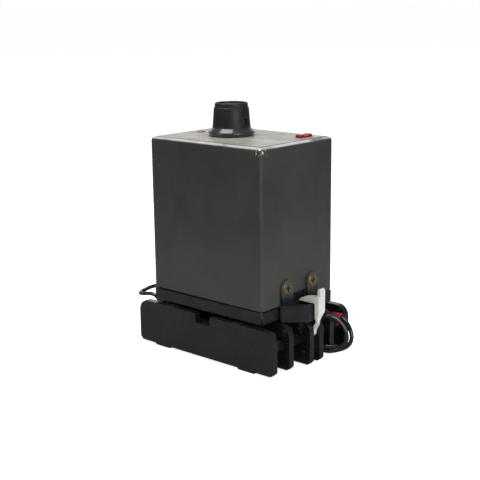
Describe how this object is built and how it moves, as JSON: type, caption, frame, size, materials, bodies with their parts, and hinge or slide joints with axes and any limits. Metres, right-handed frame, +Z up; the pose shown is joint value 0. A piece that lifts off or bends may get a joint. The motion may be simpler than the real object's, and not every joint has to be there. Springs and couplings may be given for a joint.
{
  "type": "plug-in control module with barrier socket",
  "caption": "Metal-covered plug-in control module with a knob and a rocker on top, seated in a black barrier-terminal socket and held by a white latch lever over a keeper bracket.",
  "frame": {"origin": "on the surface that the socket stands on, under the middle of the module", "axes": "+Z up out of the module's top, +X along the socket towards the latch lever, +Y away from the long front face"},
  "size_m": [0.0998, 0.0526, 0.109],
  "materials": {
    "brass": "dull brass",
    "circuit_board": "satin laminate",
    "relay_case": "matte blue case",
    "grey_green_paint": "satin dark grey-green paint, worn at the edges",
    "aluminium": "mill finish",
    "wire_insulation": "satin black insulation",
    "knob_plastic": "semi-gloss black",
    "plated_steel": "plated steel, satin",
    "keeper_black": "black finish over bent metal, satin",
    "white_nylon": "satin, slightly yellowed",
    "red_sleeve": "satin red sleeve",
    "red_lens": "glossy red lens",
    "black_plastic": "moulded black plastic, satin with glossy corners",
    "red_plastic": "semi-gloss red",
    "capacitor_sleeve": "shrink sleeve, satin",
    "top_label": "smudged satin grey-brown label"
  },
  "bodies": {
    "socket_and_module": {"board_spacer_1": "brass", "board_spacer_2": "brass", "bottom_plate": "circuit_board", "bottom_rivet_1": "brass", "bottom_rivet_2": "brass", "control_relay": "relay_case", "cover_can": "grey_green_paint", "driver_board": "circuit_board", "heat_sink": "aluminium", "inner_lead": "wire_insulation", "keeper_screw_1": "brass", "keeper_screw_2": "brass", "latch_keeper": "keeper_black", "latch_pin": "plated_steel", "lead_sleeve": "red_sleeve", "left_jumper": "wire_insulation", "main_board": "circuit_board", "nut_plate": "plated_steel", "outer_lead": "wire_insulation", "pilot_lamp": "red_lens", "plug_base": "black_plastic", "plug_pin_1": "brass", "plug_pin_2": "brass", "plug_pin_3": "brass", "plug_pin_4": "brass", "plug_pin_5": "brass", "plug_pin_6": "brass", "plug_pin_7": "brass", "plug_pin_8": "brass", "pot_nut": "brass", "pot_washer": "plated_steel", "potentiometer": "plated_steel", "power_transistor": "black_plastic", "rocker_housing": "black_plastic", "rocker_pin": "plated_steel", "smoothing_capacitor": "capacitor_sleeve", "socket_body": "black_plastic", "terminal_contact_1": "brass", "terminal_contact_2": "brass", "terminal_contact_3": "brass", "terminal_contact_4": "brass", "terminal_contact_5": "brass", "terminal_contact_6": "brass", "terminal_contact_7": "brass", "terminal_contact_8": "brass", "terminal_screw_1": "plated_steel", "terminal_screw_2": "plated_steel", "terminal_screw_3": "plated_steel", "terminal_screw_4": "plated_steel", "terminal_screw_5": "plated_steel", "terminal_screw_6": "plated_steel", "terminal_screw_7": "plated_steel", "terminal_screw_8": "plated_steel", "top_label": "top_label"},
    "knob_unit": {"knob": "knob_plastic", "knob_set_screw": "plated_steel", "pot_shaft": "plated_steel"},
    "rocker": {"rocker_cap": "red_plastic"},
    "latch": {"latch_lever": "white_nylon"}
  },
  "joints": [
    {"name": "knob_turn", "type": "hinge", "parent": "socket_and_module", "child": "knob_unit", "pos_m": [-0.0053, 0, 0.095], "axis": [0, 0, 1], "range_deg": [-150, 150]},
    {"name": "rocker_tilt", "type": "hinge", "parent": "socket_and_module", "child": "rocker", "pos_m": [0.0237, 0.01415, 0.0923], "axis": [1, 0, 0], "range_deg": [-8, 8]},
    {"name": "latch_swing", "type": "hinge", "parent": "socket_and_module", "child": "latch", "pos_m": [0.0386, 0, 0.006], "axis": [0, 1, 0], "range_deg": [0, 22]}
  ]
}
